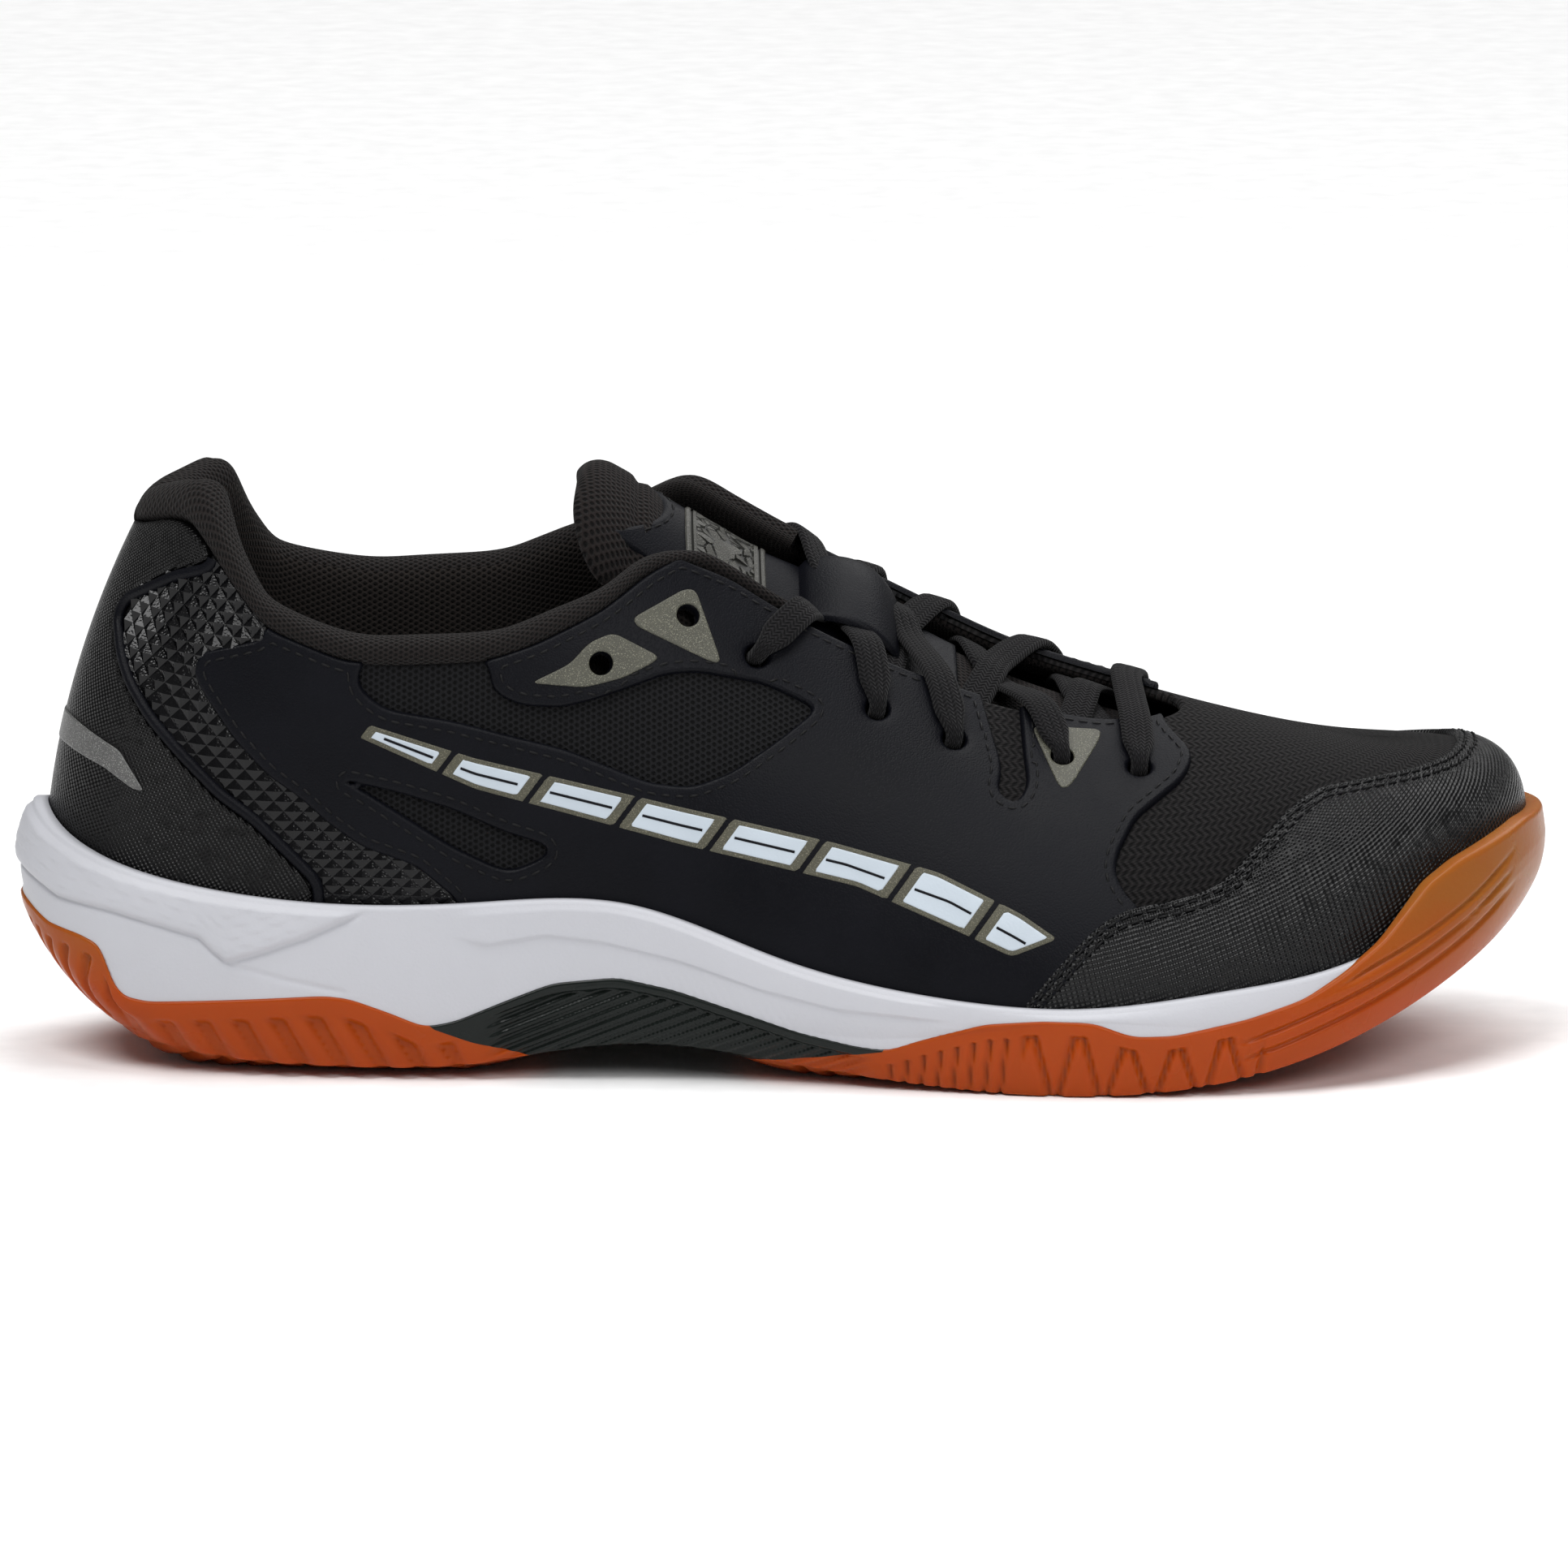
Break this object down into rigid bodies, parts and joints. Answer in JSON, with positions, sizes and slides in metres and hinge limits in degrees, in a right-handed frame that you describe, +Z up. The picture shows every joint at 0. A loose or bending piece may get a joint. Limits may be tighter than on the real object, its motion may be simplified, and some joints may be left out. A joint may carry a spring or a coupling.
{
  "type": "court shoe",
  "caption": "Low-cut indoor court shoe with a mesh and synthetic upper, laced throat, padded tongue and collar, foam midsole and gum outsole.",
  "frame": {"origin": "middle of the shoe's length and width, on the floor it stands on", "axes": "+X towards the toe, +Z up; a right shoe, so +Y is its inner (medial) side and -Y its outer (lateral) side"},
  "size_m": [0.3002, 0.107, 0.1186],
  "materials": {
    "collar_lining": "knit",
    "collar_padding": "padded knit",
    "forefoot_outsole": "gum",
    "heel_cap": "semi-gloss linen-grained synthetic leather",
    "heel_counter": "moulded",
    "heel_gel_pad": "gel",
    "heel_outsole": "gum",
    "heel_strip": "silver reflective film",
    "lateral_aglet": "gloss",
    "lateral_front_patch": "speckled film",
    "lateral_heel_panel": "glossy embossed synthetic leather",
    "lateral_quarter_mesh": "air mesh",
    "lateral_quarter_overlay": "matt smooth synthetic leather",
    "lateral_rear_patch": "speckled film",
    "lateral_side_band": "pale grey film",
    "lateral_top_patch": "speckled film",
    "medial_aglet": "gloss",
    "medial_front_patch": "speckled film",
    "medial_heel_panel": "glossy embossed synthetic leather",
    "medial_quarter_mesh": "air mesh",
    "medial_quarter_overlay": "matt smooth synthetic leather",
    "medial_rear_patch": "speckled film",
    "medial_side_band": "pale grey film",
    "medial_top_patch": "speckled film",
    "midfoot_shank": "gloss",
    "midsole": "foam",
    "shoelace": "flat braid",
    "sockliner": "knit-faced foam",
    "strobel_board": "non-woven board",
    "toe_cap": "semi-gloss cross-grained synthetic leather",
    "toe_puff": "moulded",
    "tongue_keeper": "matt synthetic leather",
    "tongue_label": "textured film",
    "tongue_lower_cover": "matt synthetic leather",
    "tongue_lower_pad": "padded mesh",
    "tongue_upper_cover": "matt synthetic leather",
    "tongue_upper_pad": "padded mesh",
    "vamp_mesh": "air mesh"
  },
  "bodies": {
    "shoe": {"collar_lining": "collar_lining", "collar_padding": "collar_padding", "forefoot_outsole": "forefoot_outsole", "heel_cap": "heel_cap", "heel_counter": "heel_counter", "heel_gel_pad": "heel_gel_pad", "heel_outsole": "heel_outsole", "heel_strip": "heel_strip", "lateral_aglet": "lateral_aglet", "lateral_front_patch": "lateral_front_patch", "lateral_heel_panel": "lateral_heel_panel", "lateral_quarter_mesh": "lateral_quarter_mesh", "lateral_quarter_overlay": "lateral_quarter_overlay", "lateral_rear_patch": "lateral_rear_patch", "lateral_side_band": "lateral_side_band", "lateral_top_patch": "lateral_top_patch", "medial_aglet": "medial_aglet", "medial_front_patch": "medial_front_patch", "medial_heel_panel": "medial_heel_panel", "medial_quarter_mesh": "medial_quarter_mesh", "medial_quarter_overlay": "medial_quarter_overlay", "medial_rear_patch": "medial_rear_patch", "medial_side_band": "medial_side_band", "medial_top_patch": "medial_top_patch", "midfoot_shank": "midfoot_shank", "midsole": "midsole", "shoelace": "shoelace", "strobel_board": "strobel_board", "toe_cap": "toe_cap", "toe_puff": "toe_puff", "tongue_keeper": "tongue_keeper", "tongue_lower_cover": "tongue_lower_cover", "tongue_lower_pad": "tongue_lower_pad", "vamp_mesh": "vamp_mesh"},
    "tongue_top": {"tongue_upper_pad": "tongue_upper_pad", "tongue_upper_cover": "tongue_upper_cover", "tongue_label": "tongue_label"},
    "sockliner": {"sockliner": "sockliner"}
  },
  "joints": [
    {"name": "tongue_fold", "type": "hinge", "parent": "shoe", "child": "tongue_top", "pos_m": [0.002, 0.0032, 0.0952], "axis": [0, 1, 0], "range_deg": [-2, 45], "stiffness_Nm_per_rad": 0.02},
    {"name": "sockliner_lift", "type": "hinge", "parent": "shoe", "child": "sockliner", "pos_m": [0.134, 0.0092, 0.024], "axis": [0, 1, 0], "range_deg": [0, 4]}
  ]
}
